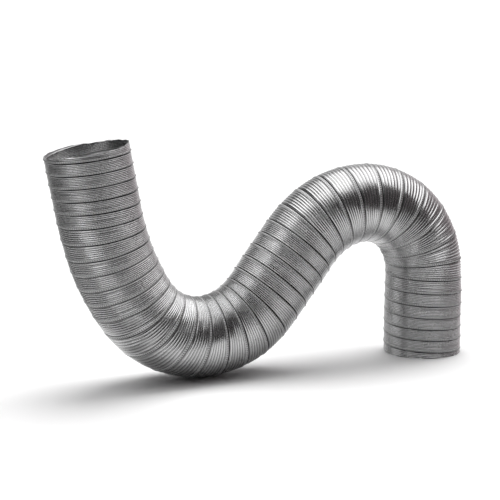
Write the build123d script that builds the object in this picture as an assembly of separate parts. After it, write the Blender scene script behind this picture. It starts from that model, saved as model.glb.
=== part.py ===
from build123d import *
from math import cos, sin, radians, degrees
import os

# Section of the duct, mm
BORE_R = 50.0     # clear inside radius of a 100 mm duct
CREST_R = 51.6    # over the crests of the fine ribs
SEAM_R = 52.0     # over the lock seam
SEAM_W = 3.0      # width of the lock seam
SLACK = 0.4       # clearance left between two turns at the end of their travel

# Centre line in the XZ plane, from the free mouth to the standing rim:
# (length in mm, bend in degrees). A positive bend turns the way on towards +Z.
FREE_LEG_LEAN = 10.5   # degrees from upright at the mouth
CENTRE_LINE = [
    (83.5, 0.0),       # free leg, straight part
    (124.2, 21.9),     # free leg, gentle curve
    (207.4, 109.6),    # lower bend, lies on the floor
    (89.7, 0.0),       # rise
    (91.4, -41.4),     # crown
    (173.1, -100.6),   # shoulder
    (114.0, 0.0),      # standing leg
]

# Advance of the lock seam along the centre line in each turn, mm.
# The legs are pushed together, the bends are drawn out.
TURN_PITCH = (
    5 * [15.9]                                                    # free leg
    + [18.1, 18.1, 18.1, 18.1, 18.1, 19.2, 20.3]
    + [24.0, 28.2, 29.0, 25.8, 24.7, 25.0, 23.3, 23.0]            # lower bend
    + [20.7, 18.8, 18.2, 18.0, 19.0]                              # rise
    + [20.0, 21.7, 24.0, 26.0, 27.6, 27.8, 28.5, 29.6, 28.1, 25.0]  # crown, shoulder
    + [20.6, 17.1, 16.4, 15.9, 15.4, 15.1, 17.3]                  # standing leg
)
TURNS = len(TURN_PITCH)
END_TURNS = 2          # turns at each end that stay rigid on a spigot
ROOT_TURN = 15         # counted from 0; the turn that lies on the floor

# How the strip gives between neighbouring turns: one letter per station, where
# B bends in the plane of the duct, N sways out of it and S stretches along it.
# Travel is (closing or negative, opening or positive) in degrees or mm per station.
ZONES = [
    ("free_leg", 2, "BNSBNSBNSB"),
    ("lower_bend_free_side", 12, "BBBB"),
    ("lower_bend_rise_side", 16, "BBBBB"),
    ("rise", 21, "NSSN"),
    ("crown", 25, "BBBB"),
    ("shoulder", 29, "BBBBBBB"),
    ("standing_leg", 36, "BNSBN"),
]
TRAVEL = {
    ("free_leg", "B"): (-5.0, 5.0),
    ("free_leg", "N"): (-6.0, 6.0),
    ("free_leg", "S"): (-3.0, 9.0),
    ("lower_bend_free_side", "B"): (-12.0, 2.0),
    ("lower_bend_rise_side", "B"): (-12.0, 2.0),
    ("rise", "N"): (-6.0, 6.0),
    ("rise", "S"): (-4.0, 8.0),
    ("crown", "B"): (-10.0, 1.0),
    ("shoulder", "B"): (-13.0, 1.0),
    ("standing_leg", "B"): (-6.0, 6.0),
    ("standing_leg", "N"): (-6.0, 6.0),
    ("standing_leg", "S"): (-3.0, 9.0),
}


def line_point(s):
    """Centre-line point (x, z) and heading in radians at length s from the mouth,
    before the frame is set."""
    x, z, heading = 0.0, 0.0, radians(-90.0 + FREE_LEG_LEAN)
    for length, bend in CENTRE_LINE:
        step = min(max(s, 0.0), length)
        turn = radians(bend) * step / length
        if bend:
            radius = length / radians(bend)
            x += radius * (sin(heading + turn) - sin(heading))
            z -= radius * (cos(heading + turn) - cos(heading))
        else:
            x += step * cos(heading)
            z += step * sin(heading)
        heading += turn
        s -= length
        if s <= 0:
            break
    return x, z, heading


def turn_start(k):
    """Length along the centre line where turn k starts."""
    return sum(TURN_PITCH[:k])


TOTAL_LENGTH = sum(length for length, _ in CENTRE_LINE)
_END = line_point(TOTAL_LENGTH)
# The frame's origin is the bottom centre of the box around the duct.
SHIFT_X = (CREST_R * cos(radians(FREE_LEG_LEAN)) - _END[0] - SEAM_R) / 2
SHIFT_Z = -_END[1]


def at(s):
    x, z, heading = line_point(s)
    return x + SHIFT_X, z + SHIFT_Z, heading


def stations():
    """Every place where two rigid pieces of the strip meet, from the mouth on."""
    found = []
    for zone, first, letters in ZONES:
        for i, letter in enumerate(letters):
            s = turn_start(first + i)
            x, z, heading = at(s)
            inward = -1 if zone in ("crown", "shoulder", "standing_leg") else 1
            found.append({
                "turn": first + i, "zone": zone, "motion": letter, "s": s,
                "x": x, "z": z, "heading": heading, "inward": inward,
                "travel": TRAVEL[zone, letter],
            })
    return found


def gap_at(station):
    """Gap on the centre line, and its growth per mm towards the inside of the bend."""
    low, high = station["travel"]
    if station["motion"] == "S":
        return SLACK - low, 0.0
    low, high = abs(radians(low)), abs(radians(high))
    if station["motion"] == "N":
        return SLACK + SEAM_R * max(low, high), 0.0
    return SLACK + SEAM_R * (low + high) / 2, (high - low) / 2


def end_plane(station, side):
    """Plane that ends the piece before (side -1) or starts the one after (side +1)
    a station. Its normal points into that piece."""
    gap, growth = gap_at(station)
    c, s = cos(station["heading"]), sin(station["heading"])
    x = station["x"] + side * c * gap / 2
    z = station["z"] + side * s * gap / 2
    tilt = growth / 2 * station["inward"]
    # the plane holds Y and the line normal + side * tilt * tangent
    nx, nz = side * c + tilt * s, side * s - tilt * c
    return Plane(origin=(x, 0, z), z_dir=(nx, 0, nz))


def node_name(first, last):
    if first == 0:
        return "free_end_turns"
    if last == TURNS:
        return "standing_end_turns"
    return f"strip_turn_{first + 1:02d}"


def pieces():
    """(first turn, turn after the last) of each rigid piece, from the mouth on."""
    cuts = [0] + [st["turn"] for st in stations()] + [TURNS]
    return list(zip(cuts[:-1], cuts[1:]))


def strip_piece(first, last, before, after):
    """Turns first to last as one ribbed sleeve with a raised lock seam in each."""
    s0, s1 = turn_start(first), turn_start(last)
    x, z, heading = at((s0 + s1) / 2)
    length = s1 - s0
    spare = 0 if last - first > 1 else 8
    blank = Cylinder(CREST_R, length + 2 * spare)
    for k in range(first, last):
        seam = turn_start(k) + TURN_PITCH[k] / 2 - (s0 + s1) / 2
        blank += Pos(0, 0, seam) * Cylinder(SEAM_R, SEAM_W)
    blank -= Cylinder(BORE_R, length + 2 * spare)
    axis = Plane(origin=(x, 0, z), x_dir=(0, 1, 0), z_dir=(cos(heading), 0, sin(heading)))
    piece = axis * blank
    if before:
        piece = split(piece, bisect_by=end_plane(before, 1), keep=Keep.TOP)
    if after:
        piece = split(piece, bisect_by=end_plane(after, -1), keep=Keep.TOP)
    return piece


def main():
    os.makedirs("parts", exist_ok=True)
    joints = stations()
    for i, (first, last) in enumerate(pieces()):
        before = joints[i - 1] if i else None
        after = joints[i] if i < len(joints) else None
        piece = strip_piece(first, last, before, after)
        piece.label = node_name(first, last)
        export_step(piece, f"parts/{piece.label}.step")


if __name__ == "__main__":
    main()
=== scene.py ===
import math

import bpy
import numpy as np
from mathutils import Matrix, Vector


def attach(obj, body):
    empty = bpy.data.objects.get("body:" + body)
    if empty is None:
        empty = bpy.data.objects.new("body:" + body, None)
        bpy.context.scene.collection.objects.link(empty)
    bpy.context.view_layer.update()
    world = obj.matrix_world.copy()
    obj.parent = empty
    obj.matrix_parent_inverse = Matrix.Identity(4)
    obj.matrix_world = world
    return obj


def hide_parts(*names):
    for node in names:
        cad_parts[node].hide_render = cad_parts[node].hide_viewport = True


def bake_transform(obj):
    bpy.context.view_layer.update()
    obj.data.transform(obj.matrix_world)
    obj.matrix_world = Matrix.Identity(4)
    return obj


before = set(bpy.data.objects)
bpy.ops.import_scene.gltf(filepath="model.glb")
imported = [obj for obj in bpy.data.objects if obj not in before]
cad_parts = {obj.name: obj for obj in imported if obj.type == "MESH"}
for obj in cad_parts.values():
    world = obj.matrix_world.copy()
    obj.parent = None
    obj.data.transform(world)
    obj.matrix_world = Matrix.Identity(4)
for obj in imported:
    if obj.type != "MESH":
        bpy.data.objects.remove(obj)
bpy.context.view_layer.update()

# ---------------------------------------------------------------- the duct
MM = 0.001
FREE_LEG_LEAN = 10.5
CENTRE_LINE = [  # (length mm, bend in degrees), from the open mouth on
    (83.5, 0.0),
    (124.2, 21.9),
    (207.4, 109.6),
    (89.7, 0.0),
    (91.4, -41.4),
    (173.1, -100.6),
    (114.0, 0.0),
]
TURN_PITCH = (
    5 * [15.9]
    + [18.1, 18.1, 18.1, 18.1, 18.1, 19.2, 20.3]
    + [24.0, 28.2, 29.0, 25.8, 24.7, 25.0, 23.3, 23.0]
    + [20.7, 18.8, 18.2, 18.0, 19.0]
    + [20.0, 21.7, 24.0, 26.0, 27.6, 27.8, 28.5, 29.6, 28.1, 25.0]
    + [20.6, 17.1, 16.4, 15.9, 15.4, 15.1, 17.3]
)
TURNS = len(TURN_PITCH)
END_TURNS = 2  # turns at each end that stay rigid on a spigot
LENGTH = sum(TURN_PITCH)
STANDING_X = 242.2176  # centre of the standing leg in the frame
SMOOTH = 8.0  # mm, softens the change from one bend radius to the next

CREST_R = 51.6  # over the crests of the ribs, before the swell and the dents
FOIL = 0.35  # thickness shown, mm
RIBS = 6  # fine ribs between two seams
ROWS = 76  # mesh rows per turn, and segments round the duct
SEAM_HALF = 8  # rows on each side of the seam's middle
RIB_DEVELOPED = 6.3  # mm of foil in one rib
RIB_DEPTH_MAX = 1.15  # mm
# The seam in section, from the mouth's side: a flat, then a deep groove. Places are mm along
# the duct and drops are mm below the crests, and both ends run into the groove of the next rib.
TO_RIB_GROOVE = 9
SEAM_Y = [-2.3, -2.1, -1.9, -1.7, -1.5, -1.1, -0.7, -0.25, 0.25, 0.7, 1.1, 1.4, 1.55, 1.8, 2.4, 3.0, 3.6]
SEAM_DROP = [TO_RIB_GROOVE, 0.8, 0.5, 0.15] + 8 * [0.0] + [0.8, 2.2, 2.5, 2.1, TO_RIB_GROOVE]

# The knurled bead on the seam's flat: mm along the duct, mm above the crests, mm lost in a mark
BEAD_Y = np.array([-1.25, -1.05, -0.6, 0.0, 0.6, 1.05, 1.25])
BEAD_HEIGHT = np.array([-0.2, 0.14, 0.38, 0.45, 0.38, 0.14, -0.2])
BEAD_DENT = np.array([0, 0.3, 1, 1, 1, 0.3, 0]) * 0.42
KNURLS = 108  # knurl marks round the duct in each turn
KNURL_STEPS = 5  # mesh steps per mark
BEAD_INSET = (0.3, 0.02)  # mm that the bead keeps from the mouth and from the standing rim

# Slow unevenness of a duct bent by hand: mm, waves round it, mm of length per radian, phase
DENTS = ((0.16, 2, 37.0, 0.0), (0.12, 3, -23.0, 1.3), (0.10, 1, 9.1, 0.0), (0.08, 5, 15.0, 0.0))
SWELL, SWELL_TIGHT = 0.4, 0.9  # mm on the radius everywhere, and mm more where it is pushed together
TIGHT_PITCH, OPEN_PITCH = 17, 21  # mm per turn between which that fades out
# The cut edge at the mouth, mm further in than the end of the line: mean, then mm, waves, phase
CUT_BACK = 1.0
CUT_RAGGED = ((0.6, 3, 0.8), (0.4, 7, 2.0), (0.35, 19, 0.0))
RIM_ROW = 0.05  # mm between mesh rows that are cut off at a rim

PAINTED_SHADE_DEPTH = 2.0  # mm below the crests at which a groove is painted darkest, painted shade that deepens with depth
FOIL_TONE_AND_PAINTED_SHADE = ((0.08, 0.90), (0.58, 0.42), (1.0, 0.05))  # the foil's own reflectance on the crests, then painted shade down to the deepest grooves: place on the painted-shade scale, reflectance
SEAM_SHADE = 0.38  # how dull the flat of the seam is, on the same scale as a groove
BEAD_PAINTED_SHADE, KNURL_MARK_PAINTED_SHADE = 0.1, 0.75  # the bead's tone on the same scale, and the painted shade that each knurl mark's dent adds
INSIDE_PAINTED_SHADE = 0.45  # painted shade of the wall inside on the same scale, darker in its own grooves, which lie behind the outer crests
NOISE_SPAN = (0.3, 0.7)  # the part of a noise's range that is spread over the values below
CLOUDING, CLOUD_NOISE = (0.94, 1.04), (45, 3)  # factor on the colour; scale and detail
ROUGHNESS, ROUGH_NOISE = (0.23, 0.29), (60, 4)
SEAM_MATT = 0.24  # roughness added on the seam


def centre_line():
    """Sampled centre line: s, x, z, heading, curvature, with straight run-outs past both ends."""
    ds = 0.5
    s = np.arange(-60.0, LENGTH + 60.0 + ds, ds)
    heading = np.full(len(s), math.radians(-90 + FREE_LEG_LEAN))
    start = 0.0
    for length, bend in CENTRE_LINE:
        heading += math.radians(bend) * np.clip((s - start) / length, 0, 1)
        start += length
    x = np.concatenate([[0], np.cumsum(np.cos((heading[1:] + heading[:-1]) / 2)) * ds])
    z = np.concatenate([[0], np.cumsum(np.sin((heading[1:] + heading[:-1]) / 2)) * ds])
    k = np.arange(-80, 81) * ds
    kernel = np.exp(-0.5 * (k / SMOOTH) ** 2)
    kernel /= kernel.sum()
    pad = len(k) // 2

    def soften(a):
        head = a[0] + (a[1] - a[0]) * np.arange(-pad, 0)
        tail = a[-1] + (a[-1] - a[-2]) * np.arange(1, pad + 1)
        return np.convolve(np.concatenate([head, a, tail]), kernel, "valid")

    x, z = soften(x), soften(z)
    end = np.interp(LENGTH, s, x), np.interp(LENGTH, s, z)
    x, z = x - end[0] + STANDING_X, z - end[1]
    heading = np.unwrap(np.arctan2(np.gradient(z, ds), np.gradient(x, ds)))
    curvature = np.gradient(heading, ds)
    return s, x, z, heading, curvature


LINE_S, LINE_X, LINE_Z, LINE_H, LINE_K = centre_line()
TURN_AT = np.concatenate([[0], np.cumsum(TURN_PITCH)])


def s_of_turn(u):
    """Length along the centre line at turn coordinate u, run on evenly past both ends."""
    s = np.interp(u, np.arange(TURNS + 1), TURN_AT)
    s = np.where(u < 0, u * TURN_PITCH[0], s)
    return np.where(u > TURNS, LENGTH + (u - TURNS) * TURN_PITCH[-1], s)


# Seams are not quite evenly spaced, mm. The list starts this many turns before the mouth.
EXTRA_TURNS = 2
PITCH_JITTER = np.random.default_rng(3).normal(size=TURNS + 7) * 0.35
# No two ribs stand equally high: the share of the depth by which each is low, and where
# round the duct it is lowest. Both lists start one turn before the mouth.
RIB_LOW = np.random.default_rng(11).random((TURNS + 2, RIBS)) ** 2 * 0.55
RIB_PHASE = np.random.default_rng(12).random((TURNS + 2, RIBS)) * 2 * np.pi
RIB_LOW_AT_BACK = 0.12  # the same for all, so that the ribs meet where the grid closes


def seam_s(m, theta):
    """Length along the centre line of seam number m at angle theta."""
    u = m + 0.5 + theta / (2 * np.pi)
    return s_of_turn(u) + np.interp(u, np.arange(len(PITCH_JITTER)) - EXTRA_TURNS, PITCH_JITTER)


def to_space(s, theta, r):
    """Point on the duct at length s, angle theta (0 at the front, 90 degrees on the side
    that lies to the left of the way on) and radius r, all mm."""
    x = np.interp(s, LINE_S, LINE_X)
    z = np.interp(s, LINE_S, LINE_Z)
    h = np.interp(s, LINE_S, LINE_H)
    side = r * np.sin(theta)
    return np.stack([x - np.sin(h) * side, -r * np.cos(theta), z + np.cos(h) * side], -1)


def stretch(s, theta):
    """How much longer the wall is at this angle than the centre line."""
    return 1 - np.interp(s, LINE_S, LINE_K) * CREST_R * np.sin(theta)


def seam_scale(pitch):
    """The folded seam opens a little where the duct is drawn out."""
    return np.clip(0.16 + 0.034 * pitch, 0.5, 1.25)


def bead_scale(wide):
    """The knurled bead stands taller where the seam is narrow."""
    return np.clip(2.1 - 1.1 * wide, 0.8, 1.35)


def rib_depth(rib_pitch):
    """Depth of a rib, mm: a fixed length of foil gets shallower as it is drawn out."""
    depth = 0.5 * np.sqrt(np.maximum(RIB_DEVELOPED**2 - rib_pitch**2, 0.3))
    return RIB_DEPTH_MAX * np.tanh(depth / RIB_DEPTH_MAX * 1.2)


def rib_low(m, t, theta):
    """Share of its depth by which the rib at t (0 to 1) of turn m is low at angle theta."""
    rib = np.clip(RIBS * t, 0, RIBS - 1).astype(int)
    turn = np.clip(m, -1, TURNS).astype(int) + 1
    low = RIB_LOW[turn, rib] * (0.65 + 0.35 * np.sin(2 * theta + RIB_PHASE[turn, rib]))
    return RIB_LOW_AT_BACK + (low - RIB_LOW_AT_BACK) * (0.5 + 0.5 * np.cos(theta))


def surface(v, theta):
    """The foil's outer face at strip coordinate v (whole numbers are seams) and angle theta:
    length along the duct, radius and depth below the crests, mm, and 1 where it is the seam's flat."""
    m = np.floor(v + SEAM_HALF / ROWS + 1e-9)
    x = v - m
    s0, s1 = seam_s(m, theta), seam_s(m + 1, theta)
    f = stretch(s0 + (s1 - s0) * np.clip(x, 0, 1), theta)
    pitch = (s1 - s0) * f
    wide = seam_scale(pitch)
    ribbed = pitch - (SEAM_Y[-1] - SEAM_Y[0]) * wide
    depth = rib_depth(ribbed / RIBS)
    rows = x * ROWS
    seam_rows = np.arange(-SEAM_HALF, SEAM_HALF + 1)
    y_seam = np.interp(rows, seam_rows, SEAM_Y) * wide
    drop_seam = np.interp(rows, seam_rows, SEAM_DROP)
    beside = (rows < 0) | (rows > SEAM_HALF - 1)
    drop_seam = np.where(beside, np.minimum(drop_seam, depth), drop_seam)
    t = (rows - SEAM_HALF) / (ROWS - 2 * SEAM_HALF)
    y_ribs = SEAM_Y[-1] * wide + t * ribbed
    wave = 0.5 + 0.5 * np.cos(2 * np.pi * RIBS * t)
    drop_ribs = depth * (wave + rib_low(m, t, theta) * (1 - wave))
    on_seam = rows <= SEAM_HALF
    y = np.where(on_seam, y_seam, y_ribs)
    drop = np.where(on_seam, drop_seam, drop_ribs)
    s = s0 + y / f
    flat = (on_seam & (drop_seam < 0.1)).astype(float)
    return s, CREST_R - drop, drop, flat


def dents(s, theta):
    """Slow unevenness, mm on the radius."""
    return sum(size * np.sin(theta * count + s / length + phase) for size, count, length, phase in DENTS)


def swell(s):
    """The duct stands a little wider where it is pushed together, mm on the radius."""
    pitch = np.interp(s, (TURN_AT[1:] + TURN_AT[:-1]) / 2, TURN_PITCH)
    return SWELL + SWELL_TIGHT * np.clip((OPEN_PITCH - pitch) / (OPEN_PITCH - TIGHT_PITCH), 0, 1)


def wall_points():
    """Outer face as a grid, rows along the duct by segments round it: what surface() gives,
    with the angle after the length."""
    i = np.arange(TURNS * ROWS + 1)[:, None]
    j = np.arange(ROWS)[None, :] - ROWS // 2  # from the back, round the front, to the back
    v = (i - j) / ROWS - 0.5
    theta = np.broadcast_to(2 * np.pi * j / ROWS, v.shape)
    s, r, drop, flat = surface(v, theta)
    r = r + dents(s, theta) + swell(s)
    # the cut rims: ragged at the mouth, flat where the duct stands
    ragged = sum(size * np.sin(theta * count + phase) for size, count, phase in CUT_RAGGED) + CUT_BACK
    s = np.clip(s, ragged + i * RIM_ROW, LENGTH - (TURNS * ROWS - i) * RIM_ROW)
    s[-1] = LENGTH
    return s, theta, r, drop, flat


WALL_S, WALL_THETA, WALL_R, WALL_DROP, WALL_FLAT = wall_points()
OUTER = to_space(WALL_S, WALL_THETA, WALL_R)
INNER = to_space(WALL_S, WALL_THETA, WALL_R - FOIL)


def grid_normals(p):
    """Smooth normals of a grid of points that closes round the duct. A segment further round
    and a row further along lie on the same rib, so the normals are taken along that diagonal."""
    along = np.gradient(p, axis=0)
    a = np.concatenate([p, p[-1:] * 2 - p[-2:-1]])[1:]
    b = np.concatenate([p[:1] * 2 - p[1:2], p])[:-1]
    diagonal = np.roll(a, -1, axis=1) - np.roll(b, 1, axis=1)
    n = np.cross(diagonal, along)
    n /= np.maximum(np.linalg.norm(n, axis=-1, keepdims=True), 1e-12)
    return n


OUTER_N = grid_normals(OUTER)
INNER_N = -grid_normals(INNER)
OUTWARD = OUTER - to_space(WALL_S, WALL_THETA, 0)
if (OUTWARD * OUTER_N).sum() < 0:
    OUTER_N, INNER_N = -OUTER_N, -INNER_N


def bead_triangles(rows):
    """Triangles of a closed bar of that many sections, with points numbered section by section."""
    count = len(BEAD_Y)
    idx = np.arange(rows * count).reshape(rows, count)
    nxt = np.roll(idx, -1, axis=1)  # the last column closes the section underneath
    q = np.stack([idx[:-1], nxt[:-1], nxt[1:], idx[1:]], -1).reshape(-1, 4)
    tris = [q[:, [0, 1, 2]], q[:, [0, 2, 3]]]
    for end, turn in ((idx[0], 1), (idx[-1], -1)):
        fan = np.stack([np.full(count - 2, end[0]), end[1:-1], end[2:]], -1)
        tris.append(fan[:, ::-turn])
    return np.concatenate(tris)


def seam_strip(first_u, last_u):
    """The knurled bead over one stretch, a closed bar for each seam in it: points, triangles,
    and for each point its turn coordinate and painted shade, darker in the knurl marks. None where there is
    no seam."""
    points, tris, turns, bead_painted_shade = [], [], [], []
    steps = KNURLS * KNURL_STEPS
    painted_shade_columns = BEAD_DENT == BEAD_DENT.max()
    base = 0
    for m in range(-1, TURNS + 1):
        a, b = max(first_u - m - 0.5, -0.5), min(last_u - m - 0.5, 0.5)
        if b - a < 1e-6:
            continue
        k = np.arange(int(round(a * steps)), int(round(b * steps)) + 1)
        theta = (2 * np.pi * k / steps)[:, None]
        s0 = seam_s(m, theta)
        f = stretch(s0, theta)
        wide = seam_scale(TURN_PITCH[min(max(m, 0), TURNS - 1)] * f)
        mark = 0.5 - 0.5 * np.cos(2 * np.pi * k / KNURL_STEPS)[:, None]
        height = bead_scale(wide) * (BEAD_HEIGHT - BEAD_DENT * mark)
        r = CREST_R + height + dents(s0, theta) + swell(s0)
        s = np.clip(s0 + BEAD_Y * wide / f, BEAD_INSET[0], LENGTH - BEAD_INSET[1])
        theta = np.broadcast_to(theta, s.shape)
        points.append(to_space(s, theta, r).reshape(-1, 3))
        tris.append(base + bead_triangles(len(k)))
        turns.append((m + 0.5 + theta / (2 * np.pi)).reshape(-1))
        # painted shade: the middle of each knurl mark's dent is painted darker
        bead_painted_shade.append((BEAD_PAINTED_SHADE + KNURL_MARK_PAINTED_SHADE * mark * painted_shade_columns).reshape(-1))
        base += s.size
    if not points:
        return None
    return np.concatenate(points), np.concatenate(tris), np.concatenate(turns), np.concatenate(bead_painted_shade)


# ---------------------------------------------------------------- material
def foil_material():
    mat = bpy.data.materials.new("rolled_aluminium_foil")
    mat.use_nodes = True
    nt = mat.node_tree
    link = nt.links.new
    bsdf = nt.nodes["Principled BSDF"]
    bsdf.inputs["Metallic"].default_value = 1.0

    def attribute(name):
        node = nt.nodes.new("ShaderNodeAttribute")
        node.attribute_name = name
        return node.outputs["Fac"]

    def ranged(value, low, high, to_low, to_high):
        node = nt.nodes.new("ShaderNodeMapRange")
        node.inputs["From Min"].default_value = low
        node.inputs["From Max"].default_value = high
        node.inputs["To Min"].default_value = to_low
        node.inputs["To Max"].default_value = to_high
        link(value, node.inputs["Value"])
        return node.outputs["Result"]

    def maths(operation, a, b):
        node = nt.nodes.new("ShaderNodeMath")
        node.operation = operation
        link(a, node.inputs[0])
        link(b, node.inputs[1])
        return node.outputs[0]

    def noise(scale, detail):
        coord = nt.nodes.new("ShaderNodeTexCoord")
        node = nt.nodes.new("ShaderNodeTexNoise")
        node.inputs["Scale"].default_value = scale
        node.inputs["Detail"].default_value = detail
        link(coord.outputs["Object"], node.inputs["Vector"])
        return node.outputs["Fac"]

    # painted shade: the foil's own brightness on the crests, painted darker the deeper a groove lies, where
    # shade falls
    painted_shade_ramp = nt.nodes.new("ShaderNodeValToRGB")
    elements = painted_shade_ramp.color_ramp.elements
    elements.new(0.5)
    for element, (place, grey) in zip(elements, FOIL_TONE_AND_PAINTED_SHADE):
        element.position = place
        element.color = (grey, grey, grey * 1.005, 1)
    link(attribute("painted_groove_shade"), painted_shade_ramp.inputs[0])
    # slight clouding of the rolled foil
    tone = ranged(noise(*CLOUD_NOISE), *NOISE_SPAN, *CLOUDING)
    mul = nt.nodes.new("ShaderNodeMix")
    mul.data_type = "RGBA"
    mul.blend_type = "MULTIPLY"
    mul.inputs["Factor"].default_value = 1.0
    link(painted_shade_ramp.outputs["Color"], mul.inputs["A"])
    link(tone, mul.inputs["B"])
    link(mul.outputs["Result"], bsdf.inputs["Base Color"])
    # the folded and knurled seam is matt, the ribs are bright
    matt = ranged(attribute("matt"), 0, 1, 0.0, SEAM_MATT)
    rough = ranged(noise(*ROUGH_NOISE), *NOISE_SPAN, *ROUGHNESS)
    link(maths("ADD", matt, rough), bsdf.inputs["Roughness"])
    return mat


FOIL_MAT = foil_material()


SHEET, RIM, BEAD = range(3)  # what a triangle belongs to


def shell_triangles(n):
    """Triangles of a closed shell of n rows: outer face, inner face and the two rims. The
    points of the inner face are numbered after those of the outer one."""
    idx = np.arange(n * ROWS).reshape(n, ROWS)
    nxt = np.roll(idx, -1, axis=1)
    a, b, c, d = idx[:-1], nxt[:-1], nxt[1:], idx[1:]
    # split along a-c, the way the ribs and the seam run
    outer = np.concatenate([np.stack([a, b, c], -1).reshape(-1, 3), np.stack([a, c, d], -1).reshape(-1, 3)])
    inside = n * ROWS
    rims = []
    for row, beside, turn in ((idx[0], nxt[0], 1), (idx[-1], nxt[-1], -1)):
        q = np.stack([row, row + inside, beside + inside, beside], -1)[:, ::turn]
        rims += [q[:, [0, 1, 2]], q[:, [0, 2, 3]]]
    return outer, outer[:, ::-1] + inside, np.concatenate(rims)


def face_normals(verts, tris):
    p = verts[tris]
    return np.cross(p[:, 1] - p[:, 0], p[:, 2] - p[:, 0])


def unit(n):
    return n / np.maximum(np.linalg.norm(n, axis=1, keepdims=True), 1e-12)


def corner_normals(verts, tris, kind, normals):
    """Normals at each corner: given ones on the sheet, averaged ones on the bead, flat on rims."""
    face_n = unit(face_normals(verts, tris))
    loop_n = np.repeat(face_n[:, None], 3, axis=1)
    loop_n[kind == SHEET] = normals[tris[kind == SHEET]]
    bead = tris[kind == BEAD]
    total = np.zeros_like(verts)
    for corner in range(3):
        np.add.at(total, bead[:, corner], face_n[kind == BEAD])
    loop_n[kind == BEAD] = unit(total)[bead]
    return loop_n


def make_piece(name, i0, i1):
    """One stretch of duct between wall rows i0 and i1: a closed thin shell and its knurled bead.
    Returns the object and the turn coordinate of its points."""
    rows = slice(i0, i1 + 1)
    outer, inner, rims = shell_triangles(i1 + 1 - i0)
    tris = np.concatenate([outer, inner, rims])
    kind = np.repeat([SHEET, RIM], [len(outer) + len(inner), len(rims)])
    verts = np.concatenate([OUTER[rows], INNER[rows]]).reshape(-1, 3)
    normals = np.concatenate([OUTER_N[rows], INNER_N[rows]]).reshape(-1, 3)
    u = np.tile(np.repeat(np.arange(i0, i1 + 1) / ROWS, ROWS), 2)
    flat = WALL_FLAT[rows].reshape(-1)
    # painted shade: darker the deeper a point lies below the crests, so the rib grooves, the seam's deep
    # groove and the low ribs are painted darker
    painted_groove_shade = np.clip(WALL_DROP[rows].reshape(-1) / PAINTED_SHADE_DEPTH, 0, 1)
    painted_groove_shade = np.maximum(painted_groove_shade, flat * SEAM_SHADE)
    # painted shade inside: darkest where the outer face has a crest, which is a groove inside
    painted_groove_shade = np.concatenate([painted_groove_shade, INSIDE_PAINTED_SHADE * (1 - painted_groove_shade)])
    matt = np.tile(flat, 2)
    strip = seam_strip(i0 / ROWS, i1 / ROWS)
    if strip is not None:
        points, bead, turns, bead_painted_shade = strip
        tris = np.concatenate([tris, bead + len(verts)])
        kind = np.concatenate([kind, np.full(len(bead), BEAD)])
        verts = np.concatenate([verts, points])
        normals = np.concatenate([normals, np.zeros((len(points), 3))])
        u = np.concatenate([u, turns])
        painted_groove_shade = np.concatenate([painted_groove_shade, bead_painted_shade])
        matt = np.concatenate([matt, np.ones(len(points))])
    # outward winding
    if (face_normals(verts, outer) * normals[outer[:, 0]]).sum() < 0:
        tris = tris[:, ::-1]
    mesh = bpy.data.meshes.new(name)
    mesh.vertices.add(len(verts))
    mesh.vertices.foreach_set("co", (verts * MM).astype(np.float32).ravel())
    mesh.loops.add(len(tris) * 3)
    mesh.loops.foreach_set("vertex_index", tris.astype(np.int32).ravel())
    mesh.polygons.add(len(tris))
    mesh.polygons.foreach_set("loop_start", (np.arange(len(tris)) * 3).astype(np.int32))
    mesh.polygons.foreach_set("use_smooth", np.ones(len(tris), bool))
    mesh.update()
    mesh.validate()
    loop_n = corner_normals(verts, tris, kind, normals)
    mesh.normals_split_custom_set(loop_n.reshape(-1, 3).tolist())
    for label, values in (("painted_groove_shade", painted_groove_shade), ("matt", matt)):
        attribute = mesh.attributes.new(label, "FLOAT", "POINT")
        attribute.data.foreach_set("value", values.astype(np.float32))
    mesh.materials.append(FOIL_MAT)
    obj = bpy.data.objects.new(name, mesh)
    bpy.context.scene.collection.objects.link(obj)
    return obj, u


def node_of_turn(k):
    """The CAD node that holds turn k. The last two turns at each end are one node."""
    if k < END_TURNS:
        return "free_end_turns"
    if k >= TURNS - END_TURNS:
        return "standing_end_turns"
    return f"strip_turn_{k + 1:02d}"


def build_duct():
    """Each piece reaches from the middle of one turn to the middle of the next."""
    half = ROWS // 2
    obj, _ = make_piece("strip_at_free_mouth", 0, (END_TURNS - 1) * ROWS + half)
    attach(obj, "free_end_turns")
    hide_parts("free_end_turns")
    for t in range(END_TURNS, TURNS - END_TURNS + 1):
        before, after = node_of_turn(t - 1), node_of_turn(t)
        low, high = t * ROWS - half, t * ROWS + half
        obj, u = make_piece(f"strip_round_{t:02d}", low, high)
        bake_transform(obj)
        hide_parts(*[n for n in (before, after) if n.startswith("strip_turn")])
    obj, _ = make_piece("strip_at_standing_rim", (TURNS - END_TURNS) * ROWS + half, TURNS * ROWS)
    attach(obj, "standing_end_turns")
    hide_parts("standing_end_turns")


build_duct()


# ---------------------------------------------------------------- stage, light, camera
CAMERA_AZIMUTH, CAMERA_ELEVATION = -26.03, 9.13  # degrees
CAMERA_TARGET = Vector((-23.25 * MM, 0, 159.6 * MM))
CAMERA_DISTANCE = 1820.3 * MM
SENSOR, LENS = 36.0, 101.52  # mm
FRONT = Vector((math.sin(math.radians(CAMERA_AZIMUTH)), -math.cos(math.radians(CAMERA_AZIMUTH)), 0))
RIGHT = Vector((-FRONT.y, FRONT.x, 0))
UP = Vector((0, 0, 1))

DUCT_MIDDLE = (0, 0, 0.15)  # what the lamps aim at, metres
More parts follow.
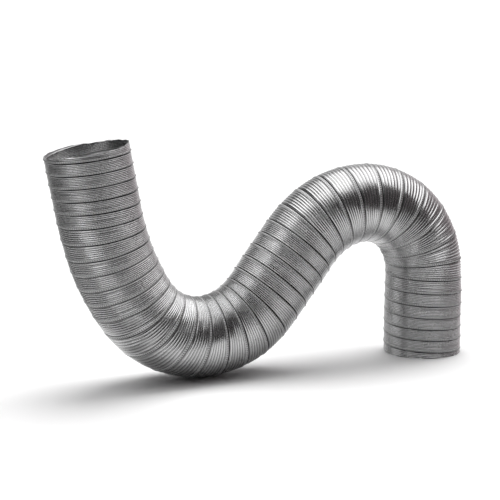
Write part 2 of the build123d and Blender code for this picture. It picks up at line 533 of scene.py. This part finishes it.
# A lamp's place is in metres. A softbox has its size in metres across and along the view.
OVERHEAD_PLACE = UP * 1.35 - FRONT * 0.19
OVERHEAD_SIZE, OVERHEAD_RADIANCE = (2.4, 1.5), 1.45
LEFT_PLACE = UP * 1.2 + FRONT * 0.75 - RIGHT * 0.95
LEFT_SIZE, LEFT_RADIANCE = (0.8, 0.7), 1.5
TABLE_LIGHT_FROM = UP - FRONT * 0.36 + RIGHT * 0.15
TABLE_LIGHT_ENERGY, TABLE_LIGHT_ANGLE = 2.1, 40  # watts per square metre, degrees

FLOOR_REFLECTED, FLOOR_SEEN = 0.6, 0.92  # albedo in reflections and shadows, and to the camera
STUDIO_SEEN = 1.2  # plain white
# What the foil reflects, by direction: place from -1 (0.0) to 1 (1.0) along the axis, grey or colour
STUDIO_FROM_BACK_TO_FRONT = ((0.0, 0.75), (0.1, 0.6), (0.2, 0.24), (0.5, 0.12), (0.75, 0.05), (1.0, 0.04))
STUDIO_FROM_LEFT_TO_RIGHT = ((0.0, 0.4), (0.3, 0.7), (0.5, 0.9), (1.0, (0.85, 0.70, 0.74)))


def add_floor(front=0.9, back=0.9, side=0.8):
    """A white table top that reaches this far from the origin, in metres."""
    mat = bpy.data.materials.new("pale_floor")
    mat.use_nodes = True
    nt = mat.node_tree
    bsdf = nt.nodes["Principled BSDF"]
    path = nt.nodes.new("ShaderNodeLightPath")
    mix = nt.nodes.new("ShaderNodeMix")
    mix.data_type = "RGBA"
    mix.inputs["A"].default_value = (*3 * [FLOOR_REFLECTED], 1)
    mix.inputs["B"].default_value = (*3 * [FLOOR_SEEN], 1)
    nt.links.new(path.outputs["Is Camera Ray"], mix.inputs["Factor"])
    nt.links.new(mix.outputs["Result"], bsdf.inputs["Base Color"])
    bsdf.inputs["Roughness"].default_value = 1.0
    bsdf.inputs["Specular IOR Level"].default_value = 0.0
    mesh = bpy.data.meshes.new("floor")
    corners = ((front, -side), (front, side), (-back, side), (-back, -side))
    mesh.from_pydata([tuple(FRONT * f + RIGHT * r) for f, r in corners], [], [(0, 1, 2, 3)])
    obj = bpy.data.objects.new("floor", mesh)
    bpy.context.scene.collection.objects.link(obj)
    mesh.materials.append(mat)
    return obj


def add_light(name, kind, place, target=DUCT_MIDDLE):
    """A lamp at that place, its long side across the view."""
    data = bpy.data.lights.new(name, kind)
    obj = bpy.data.objects.new(name, data)
    bpy.context.scene.collection.objects.link(obj)
    back = (Vector(place) - Vector(target)).normalized()
    y_axis = back.cross(RIGHT).normalized()
    x_axis = y_axis.cross(back).normalized()
    m = Matrix((x_axis, y_axis, back)).transposed().to_4x4()
    m.translation = Vector(place)
    obj.matrix_world = m
    return obj


def softbox(name, place, size, radiance, target=DUCT_MIDDLE):
    """A rectangular lamp that looks equally bright from everywhere in front of it."""
    obj = add_light(name, "AREA", place, target)
    obj.data.shape = "RECTANGLE"
    obj.data.size, obj.data.size_y = size
    obj.data.energy = radiance * math.pi * size[0] * size[1]


def add_world():
    """A dim studio: what the foil reflects. Seen straight on it is plain white."""
    world = bpy.data.worlds.new("studio")
    world.use_nodes = True
    nt = world.node_tree
    out, dim = nt.nodes["World Output"], nt.nodes["Background"]
    white = nt.nodes.new("ShaderNodeBackground")
    white.inputs[0].default_value = (1, 1, 1, 1)
    white.inputs[1].default_value = STUDIO_SEEN
    path = nt.nodes.new("ShaderNodeLightPath")
    mix = nt.nodes.new("ShaderNodeMixShader")
    nt.links.new(path.outputs["Is Camera Ray"], mix.inputs[0])
    nt.links.new(dim.outputs[0], mix.inputs[1])
    nt.links.new(white.outputs[0], mix.inputs[2])
    nt.links.new(mix.outputs[0], out.inputs[0])
    # pale behind the duct, dark towards the photographer and darker to the left
    coord = nt.nodes.new("ShaderNodeTexCoord")

    def by_direction(axis, steps):
        """Colour by how far a direction points along the axis."""
        dot = nt.nodes.new("ShaderNodeVectorMath")
        dot.operation = "DOT_PRODUCT"
        dot.inputs[1].default_value = axis
        scale = nt.nodes.new("ShaderNodeMapRange")
        scale.inputs["From Min"].default_value = -1
        ramp = nt.nodes.new("ShaderNodeValToRGB")
        nt.links.new(coord.outputs["Generated"], dot.inputs[0])
        nt.links.new(dot.outputs["Value"], scale.inputs["Value"])
        nt.links.new(scale.outputs["Result"], ramp.inputs[0])
        while len(ramp.color_ramp.elements) < len(steps):
            ramp.color_ramp.elements.new(0.5)
        for element, (place, colour) in zip(ramp.color_ramp.elements, steps):
            element.position = place
            element.color = (*np.broadcast_to(colour, 3), 1)
        return ramp.outputs["Color"]

    mul = nt.nodes.new("ShaderNodeMix")
    mul.data_type = "RGBA"
    mul.blend_type = "MULTIPLY"
    mul.inputs["Factor"].default_value = 1.0
    nt.links.new(by_direction(FRONT, STUDIO_FROM_BACK_TO_FRONT), mul.inputs["A"])
    nt.links.new(by_direction(RIGHT, STUDIO_FROM_LEFT_TO_RIGHT), mul.inputs["B"])
    nt.links.new(mul.outputs["Result"], dim.inputs[0])
    bpy.context.scene.world = world


def add_lights(floor):
    softbox("overhead_softbox", OVERHEAD_PLACE, OVERHEAD_SIZE, OVERHEAD_RADIANCE, OVERHEAD_PLACE - UP)
    softbox("left_softbox", LEFT_PLACE, LEFT_SIZE, LEFT_RADIANCE)
    # an even light from above for the table alone, which draws the soft shadow underneath
    only = bpy.data.collections.new("table_only")
    only.objects.link(floor)
    sun = add_light("table_light", "SUN", TABLE_LIGHT_FROM, (0, 0, 0))
    sun.data.energy = TABLE_LIGHT_ENERGY
    sun.data.angle = math.radians(TABLE_LIGHT_ANGLE)
    sun.light_linking.receiver_collection = only
    add_world()


def add_camera():
    a, e = math.radians(CAMERA_AZIMUTH), math.radians(CAMERA_ELEVATION)
    back = Vector((math.sin(a) * math.cos(e), -math.cos(a) * math.cos(e), math.sin(e)))
    data = bpy.data.cameras.new("camera")
    data.sensor_width = SENSOR
    data.lens = LENS
    data.clip_start, data.clip_end = 0.05, 50
    cam = bpy.data.objects.new("camera", data)
    bpy.context.scene.collection.objects.link(cam)
    cam.location = CAMERA_TARGET + back * CAMERA_DISTANCE
    cam.rotation_mode = "QUATERNION"
    cam.rotation_quaternion = (-back).to_track_quat("-Z", "Y")
    bpy.context.scene.camera = cam
    bpy.context.scene.view_settings.view_transform = "Standard"


add_lights(add_floor())
add_camera()
